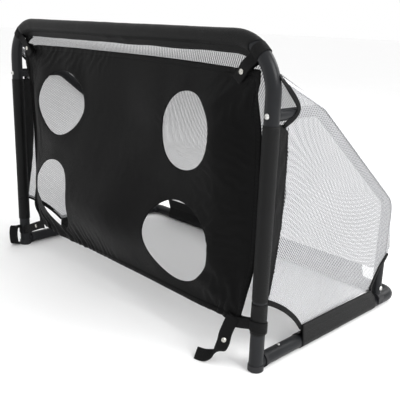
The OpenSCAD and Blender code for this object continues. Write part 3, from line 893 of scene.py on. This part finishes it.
def bound_edge(name, points, normals):
    """Folded tape along a cut edge: a flat band, a little wavy, with its own normals."""
    path = spline(points, 0.006)
    along = lengths(path)
    marks = lengths([Vector(p) for p in points])
    sides = []
    for i, p in enumerate(path):
        mark = along[i] / along[-1] * marks[-1]
        outward = blended(mark, marks, normals).normalized()
        ahead = path[min(i + 1, len(path) - 1)] - path[max(i - 1, 0)]
        sides.append(outward.cross(ahead.normalized()))
        path[i] = p + outward * TAPE_WAVE * wobble(*p, 0.04, len(name))
    band(path, sides, TAPE_W, TAPE_T, name, TAPE, "binding_tape", (name,))


def bindings(s):
    """A side's three taped cut-outs: at the frame's corner, over the base joint and at the rear corner."""
    side = SIDES[s]
    out, up_back = (s, 0, 0), (0, 0.58, 0.81)
    points = [back_place(s * x, 0.0, 0.0006) for x in (TOP_CUT_X, 0.465, 0.487, 0.503)]
    normals = [up_back] * 3 + [(0.5 * s, 0.4, 0.7)]
    points += [side_place(s, y, z, 0.001) for y, z in UPPER_CUT]
    normals += [(0.8 * s, 0.2, 0.5)] + [out] * (len(UPPER_CUT) - 1)
    bound_edge(f"upper_binding_{side}", points, normals)
    points = [side_place(s, *p, 0.0008) for p in bow(*ARC_ENDS, ARC_R, 9)]
    bound_edge(f"front_binding_{side}", points, [out] * len(points))
    points = [side_place(s, y, z, 0.0012) for y, z in REAR_CUT[:0:-1]]
    normals = [out] * len(points)
    points.append(at(s * (POST_X + 0.006), HIP[0] + WRAP_R, REAR_APEX_Z + 0.004))
    normals.append((0.3 * s, 0.95, 0))
    for t in (0.25, 0.5, 0.75, 1.0):
        x = POST_X + (REAR_CUT_X - POST_X) * t
        points.append(back_place(s * x, CUT_S + (BACK_LENGTH - CUT_S) * t, 0.0006))
        normals.append((0, 1, 0.15))
    bound_edge(f"rear_binding_{side}", points, normals)


# ---- target sheet

SHEET_W = 0.950
SHEET_H = 0.556
HOLES = [(-0.262, 0.123, 0.090), (0.262, 0.123, 0.090), (-0.262, -0.140, 0.100), (0.262, -0.140, 0.100)]
HEM_W = 0.0125
SHEET_MID_Z = 0.372
EDGE_X = 0.464
FLAT_HALF = 0.363

# How far behind the goal line the hanging cloth lies: places across the sheet, then each height's depths
DEPTH_AT = (-1, -0.76, -0.55, -0.34, 0, 0.34, 0.55, 0.76, 1)
DEPTHS = {
    -1.0: (0.000, -0.010, -0.012, -0.012, -0.012, -0.010, -0.010, -0.012, -0.012),
    -0.5: (0.026, -0.030, -0.048, -0.060, -0.066, -0.045, -0.032, -0.019, 0.026),
    0.0: (0.026, -0.014, -0.018, -0.018, -0.012, -0.008, -0.010, -0.014, 0.026),
    0.45: (0.024, -0.018, 0.000, 0.022, 0.026, 0.010, -0.006, -0.022, 0.024),
    1.0: (0.002, 0.010, 0.018, 0.022, 0.025, 0.020, 0.012, 0.000, -0.004),
}
CORNERS = {
    (-1, 1): (-0.449, 0.002, 0.648),
    (1, 1): (0.475, -0.004, 0.642),
    (-1, -1): (-0.405, 0.000, 0.095),
    (1, -1): (0.463, -0.008, 0.098),
}


def rectangle(half_w, half_h, gap):
    """Points round a rectangle, about a gap apart."""
    nx, nz = round(2 * half_w / gap), round(2 * half_h / gap)
    xs, zs = np.linspace(-half_w, half_w, nx + 1), np.linspace(-half_h, half_h, nz + 1)
    rim = [(x, zs[0]) for x in xs[:-1]] + [(xs[-1], z) for z in zs[:-1]]
    return rim + [(x, zs[-1]) for x in xs[:0:-1]] + [(xs[0], z) for z in zs[:0:-1]]


def sheet_cut():
    """The flat sheet with its four holes as triangles: points and faces."""
    random.seed(4)
    gap = 0.0095
    points, edges = [], []

    def loop(ring):
        start = len(points)
        points.extend(ring)
        edges.extend((start + i, start + (i + 1) % len(ring)) for i in range(len(ring)))

    half_w, half_h = SHEET_W / 2, SHEET_H / 2
    loop(rectangle(half_w, half_h, gap))
    loop(rectangle(half_w - HEM_W, half_h - HEM_W, gap))
    turns = full_turn(68)
    for hx, hz, r in HOLES:
        loop([(hx + r * math.cos(a), hz + r * math.sin(a)) for a in turns])
    inner_w, inner_h = half_w - HEM_W - 0.6 * gap, half_h - HEM_W - 0.6 * gap
    for x in np.arange(-inner_w, inner_w + 0.5 * gap, gap):
        for z in np.arange(-inner_h, inner_h + 0.5 * gap, gap):
            px = min(inner_w, max(-inner_w, x + random.uniform(-0.3, 0.3) * gap))
            pz = min(inner_h, max(-inner_h, z + random.uniform(-0.3, 0.3) * gap))
            if all(math.hypot(px - hx, pz - hz) > r + 0.6 * gap for hx, hz, r in HOLES):
                points.append((px, pz))
    flat, _, faces, *_ = delaunay_2d_cdt([Vector(p) for p in points], edges, [], 0, 1e-6)
    kept = []
    for face in faces:
        middle = sum((flat[i] for i in face), Vector((0, 0))) / len(face)
        if all(math.hypot(middle.x - hx, middle.y - hz) > r * 0.998 for hx, hz, r in HOLES):
            kept.append(tuple(face))
    return [tuple(p) for p in flat], kept


def corner_distance(x, z, sx, sz):
    return math.hypot(x - sx * (SHEET_W / 2 - 0.010), z - sz * (SHEET_H / 2 - 0.010))


def eased_between(t, marks, values):
    """Interpolates between values without a crease at the marks."""
    k = max(i for i, mark in enumerate(marks[:-1]) if t >= mark or i == 0)
    share = min(1.0, max(0.0, (t - marks[k]) / (marks[k + 1] - marks[k])))
    return values[k] + (values[k + 1] - values[k]) * share * share * (3 - 2 * share)


def hung_place(x, z):
    """Where the slack cloth hangs: sides behind the posts, the top leaning back, a belly low in front."""
    u, v = x / (SHEET_W / 2), z / (SHEET_H / 2)
    depth = eased_between(v, list(DEPTHS), [eased_between(u, DEPTH_AT, row) for row in DEPTHS.values()])
    sides = sorted(CORNERS)
    height = sum((1 + sx * u) * (1 + sz * v) / 4 * CORNERS[(sx, sz)][2] for sx, sz in sides)
    slope = (EDGE_X - FLAT_HALF) / (SHEET_W / 2 - FLAT_HALF)
    across = x if abs(x) < FLAT_HALF else math.copysign(FLAT_HALF + (abs(x) - FLAT_HALF) * slope, x)
    row, side = (1 if v > 0 else -1), (1 if u > 0 else -1)
    near_rim = max(0.0, (abs(v) - 0.72) / 0.28) ** 2
    across += (CORNERS[(side, row)][0] - side * EDGE_X) * near_rim * abs(u)
    for sx, sz in sides:
        away = corner_distance(x, z, sx, sz)
        turn = math.atan2(z - sz * SHEET_H / 2, x - sx * SHEET_W / 2)
        depth += 0.0065 * math.exp(-away / 0.13) * min(1.0, away / 0.04) * math.sin(13 * turn + sx)
    return at(across, depth, height)


PULLED_FRAME = 16
LAST_FRAME = 50
CLOTH_SETTINGS = dict(
    quality=6,
    mass=0.2,
    air_damping=2.0,
    tension_stiffness=50,
    compression_stiffness=50,
    shear_stiffness=22,
    bending_stiffness=1.0,
    tension_damping=15,
    compression_damping=15,
    bending_damping=2.0,
    pin_stiffness=12.0,
)


def hang_sheet(mesh, flat):
    """Hangs the flat cloth from its corners by simulation and returns its points."""
    obj = placed("hanging", mesh)
    obj.shape_key_add(name="flat")
    pulled = obj.shape_key_add(name="pulled")
    held = obj.vertex_groups.new(name="held")
    for i, (x, z) in enumerate(flat):
        pulled.data[i].co = hung_place(x, z)
        weight = 0.8 if abs(x) > SHEET_W / 2 - 0.03 else 0.45
        for (sx, sz), corner in CORNERS.items():
            if corner_distance(x, z, sx, sz) < 0.017:
                weight = 1.0
                offset = Vector((x - sx * SHEET_W / 2, 0, z - sz * SHEET_H / 2))
                pulled.data[i].co = at(*corner) + offset * 0.96
        held.add([i], weight, "REPLACE")
    for frame_at, value in ((1, 0.0), (PULLED_FRAME, 1.0)):
        pulled.value = value
        pulled.keyframe_insert("value", frame=frame_at)
    cloth = obj.modifiers.new("cloth", "CLOTH")
    for name, value in CLOTH_SETTINGS.items():
        setattr(cloth.settings, name, value)
    cloth.settings.effector_weights.gravity = 0.35
    cloth.settings.vertex_group_mass = "held"
    scene = bpy.context.scene
    cloth.point_cache.frame_start = 1
    cloth.point_cache.frame_end = LAST_FRAME
    for f in range(1, LAST_FRAME + 1):
        scene.frame_set(f)
    shaped = obj.evaluated_get(bpy.context.evaluated_depsgraph_get()).to_mesh()
    points = [v.co.copy() for v in shaped.vertices]
    scene.frame_set(1)
    bpy.data.objects.remove(obj)
    return points


def target_sheet():
    flat, faces = sheet_cut()
    verts = [hung_place(x, z) for x, z in flat]
    start = [at(x, 0.004 * wobble(x, z, 0, 0.15, 3) - 0.003, SHEET_MID_Z + z) for x, z in flat]
    mesh = bpy.data.meshes.new("hanging")
    mesh.from_pydata([tuple(v) for v in start], [], faces)
    verts = hang_sheet(mesh, flat)
    uvs = [flat[i] for face in faces for i in face]
    obj = piece("target_sheet", verts, faces, TARGET_CLOTH, uvs, ("target_sheet",))
    finer(obj)
    thicken(obj, SHEET_T, 0.0)
    hem = sheet_hem(flat, faces, verts)


def finer(obj):
    smooth = obj.modifiers.new("smooth", "SUBSURF")
    smooth.levels = 1
    smooth.render_levels = 1


def sheet_hem(flat, faces, verts):
    """The doubled hem: the outermost strip of the sheet again, but thicker."""

    def in_hem(face):
        x, z = (sum(flat[i][k] for i in face) / len(face) for k in (0, 1))
        return abs(x) > SHEET_W / 2 - HEM_W or abs(z) > SHEET_H / 2 - HEM_W

    kept = [face for face in faces if in_hem(face)]
    used = sorted({i for face in kept for i in face})
    index = {v: k for k, v in enumerate(used)}
    hem_faces = [tuple(index[i] for i in face) for face in kept]
    uvs = [flat[used[i]] for face in hem_faces for i in face]
    obj = piece("target_hem", [verts[i] for i in used], hem_faces, TARGET_CLOTH, uvs)
    finer(obj)
    return thicken(obj, HEM_T, 0.0)


# ---- straps and studs

STRAP_NAMES = ("strap_top_left", "strap_top_right", "strap_bottom_left", "strap_bottom_right")
TAIL_STEP = 0.004


def strap(name, points, sides, step=0.005, width=WEBBING_W):
    """Webbing along a smoothed path; sides gives the direction across it at each point."""
    path = spline(points, step)
    marks, along = lengths(points), lengths(path)
    scale = marks[-1] / along[-1]
    turned = [blended(s * scale, marks, sides) for s in along]
    band(path, turned, width, WEBBING_T, name, WEBBING, "webbing", (name,) if name in STRAP_NAMES else ())


def top_strap(s):
    """Webbing that loops over the upper corner and comes down in two layers to the sheet's corner."""
    angle = math.radians(50)
    out = Vector((s * math.cos(angle), 0, math.sin(angle)))
    tangent = Vector((math.sin(angle), 0, -s * math.cos(angle)))
    middle = at(s * (POST_X - CORNER_R), 0, BAR_Z - CORNER_R) + out * CORNER_R
    radius = TUBE_R + 0.0012
    front = Vector((0, -1, 0))
    stud = at(0.433, -0.0125, 0.635) if s > 0 else at(-0.424, -0.0085, 0.634)
    low = stud - out * 0.024 + front * -0.0015
    waist = stud + out * 0.018 + front * 0.0012
    points = [low, stud, waist]
    for a in np.linspace(math.radians(-58), math.radians(212), 13):
        ring = front * math.cos(a) + out * math.sin(a)
        points.append(middle + ring * radius)
    points += [waist - front * 0.006 - out * 0.004, stud - front * 0.004, low - front * 0.0024]
    strap(f"strap_top_{SIDES[s]}", points, [tangent] * len(points))
    return stud + front * 0.0016


def bottom_right_strap():
    """Webbing round the right post to the sheet's lower corner, with a loose tail that reaches the floor."""
    corner = at(*CORNERS[(1, -1)])
    radius = SLEEVE_R + 0.0022
    z = 0.106
    up = Vector((0, 0, 1))
    points = [corner + Vector((-0.034, -0.004, 0.004)), corner + Vector((-0.012, -0.006, 0.0))]
    sides = [Vector((0.25, 0, 1)), Vector((0.2, 0, 1))]
    for a in np.linspace(math.radians(215), math.radians(478), 12):
        points.append(at(POST_X + radius * math.cos(a), radius * math.sin(a), z - 0.004 * math.sin(a)))
        sides.append(up)
    points += [corner + Vector((0.006, 0.006, 0.004)), corner + Vector((-0.02, 0.003, 0.006))]
    sides += [up, up]
    strap("strap_bottom_right", points, sides)
    tail = [
        (0.453, -0.0215, 0.114), (0.450, -0.0300, 0.095), (0.446, -0.0360, 0.075),
        (0.446, -0.0415, 0.057), (0.442, -0.0470, 0.040), (0.430, -0.0520, 0.026),
        (0.408, -0.0580, 0.0135), (0.383, -0.0630, 0.0105),
    ]
    hanging = Vector((0.69, 0.72, 0.03))
    lying = Vector((-0.25, 0.60, 0.75))
    sides = [hanging] * 4 + [hanging.lerp(lying, t) for t in (0.15, 0.55, 0.9, 1.0)]
    strap("strap_tail_right", [at(*p) for p in tail], sides, TAIL_STEP, WEBBING_W + 0.004)
    return at(0.4472, -0.0415, 0.062)


def bottom_left_strap():
    """Webbing round the left post to the sheet's other lower corner, with a short tail down to the floor."""
    corner = at(*CORNERS[(-1, -1)])
    radius = TUBE_R + 0.0014
    up = Vector((0, 0, 1))
    middle_z = 0.052
    points = [corner + Vector((0.030, -0.004, 0.006)), corner + Vector((0.002, -0.006, -0.003))]
    sides = [Vector((-0.3, 0, 1)), Vector((-0.45, 0, 1))]
    for a in np.linspace(math.radians(-35), math.radians(-298), 12):
        points.append(at(-POST_X + radius * math.cos(a), radius * math.sin(a), middle_z))
        sides.append(up)
    strap("strap_bottom_left", points, sides)
    across = Vector((0.69, 0.72, 0))
    tail = [
        (-0.515, -0.0160, 0.056), (-0.512, -0.0280, 0.066), (-0.507, -0.0380, 0.064),
        (-0.506, -0.0420, 0.045), (-0.507, -0.0410, 0.022), (-0.511, -0.0360, 0.007),
        (-0.520, -0.0270, 0.0026), (-0.530, -0.0170, 0.0024),
    ]
    sides = [Vector((0.6, 0.5, 0.5)), Vector((0.69, 0.6, 0.2))] + [across] * 6
    strap("strap_tail_left", [at(*p) for p in tail], sides, TAIL_STEP, WEBBING_W + 0.002)
    return corner + Vector((-0.014, -0.0085, -0.010))


def stud_part(build, place, facing, profile):
    """A turned part: profile lists (radius, height) in millimetres, from the cloth outwards."""
    facing = facing.normalized()
    side = facing.orthogonal().normalized()
    other = facing.cross(side)
    ring = [side * math.cos(a) + other * math.sin(a) for a in full_turn(28)]
    build.tube([[place + out * (r * MM) + facing * (h * MM) for out in ring] for r, h in profile])


def studs(places):
    """Each stud's cap on the outside of the webbing and its socket on the inside."""
    cap = [(5.2, -0.4), (5.6, 0.2), (5.7, 0.7), (5.2, 1.1), (4.6, 1.0)]
    cap += [(4.2, 1.2), (3.4, 1.9), (2.0, 2.4), (0.8, 2.5)]
    socket = [(5.0, 0.4), (5.2, -0.6), (4.6, -1.1), (3.0, -1.1), (2.4, -1.6), (1.0, -1.6)]
    caps, sockets = Builder(), Builder()
    for place, facing in places:
        stud_part(caps, place, facing, cap)
        stud_part(sockets, place - facing.normalized() * WEBBING_T, facing, socket)
    caps.make("stud_caps", NICKEL, "stud_metal", ("stud_caps",))
    sockets.make("stud_sockets", NICKEL, "stud_metal", ("stud_sockets",))


# ---- stage, lights and camera


def stage():
    size = 30.0
    mesh = bpy.data.meshes.new("floor")
    corners = [(-size, -size, 0), (size, -size, 0), (size, size, 0), (-size, size, 0)]
    mesh.from_pydata(corners, [], [(0, 1, 2, 3)])
    floor = placed("floor", mesh)
    m = Nodes("pale_floor", (0.96, 0.96, 0.96), 0.7)
    m.colour(m.ramp(m.noise(m.coords(False), 3.0, 3), 0.2, 0.8, (0.955, 0.955, 0.955), (0.97, 0.97, 0.97)))
    mesh.materials.append(m.mat)
    world = bpy.data.worlds.new("studio")
    world.use_nodes = True
    background = world.node_tree.nodes["Background"]
    background.inputs["Color"].default_value = (1, 1, 1, 1)
    background.inputs["Strength"].default_value = 1.0
    bpy.context.scene.world = world


def lamp(name, place, aim, size, power):
    light = bpy.data.lights.new(name, "AREA")
    light.size = size
    light.energy = power
    obj = placed(name, light)
    obj.location = place
    obj.rotation_euler = (Vector(aim) - Vector(place)).to_track_quat("-Z", "Y").to_euler()


def lights():
    middle = (0, 0, 0.35)
    lamp("key", (2.9, 0.1, 2.4), middle, 1.6, 85)
    lamp("fill", (-2.2, -2.4, 1.8), middle, 2.5, 8)
    lamp("rim", (0.8, 2.8, 2.4), middle, 2.0, 40)


def camera():
    azimuth, pitch, roll = (math.radians(a) for a in (45.796, 16.296, -1.969))
    eye = at(1.2671, -0.9259, 0.7300)
    level = Vector((math.cos(azimuth), math.sin(azimuth), 0))
    ahead = Vector((-math.sin(azimuth), math.cos(azimuth), 0))
    forward = ahead * math.cos(pitch) - Vector((0, 0, math.sin(pitch)))
    down = forward.cross(level)
    right = level * math.cos(roll) + down * math.sin(roll)
    up = -(down * math.cos(roll) - level * math.sin(roll))
    data = bpy.data.cameras.new("camera")
    data.lens = 55.42
    data.sensor_width = 36
    obj = placed("camera", data)
    turn = Matrix((right, up, -forward)).transposed().to_4x4()
    obj.matrix_world = Matrix.Translation(eye) @ turn
    bpy.context.scene.camera = obj
    bpy.context.scene.view_settings.view_transform = "Standard"


# ---- the goal

camera()
stage()
lights()
dress_cad_nodes()
stitches = Builder()
top_sleeve(stitches)
rear_sleeve(stitches)
for side in SIDES:
    post_sleeve(side, stitches)
    base_sleeve(side, stitches)
    side_net(side)
    bindings(side)
back_net()
stud_places = [(top_strap(side), Vector((0, -1, 0.05))) for side in SIDES]
stud_places.append((bottom_right_strap(), Vector((0.70, -0.68, 0.2))))
stud_places.append((bottom_left_strap(), Vector((-0.1, -1, 0.0))))
studs(stud_places)
target_sheet()
stitches.make("stitching", THREAD, "sleeve_cloth")

bpy.context.view_layer.update()
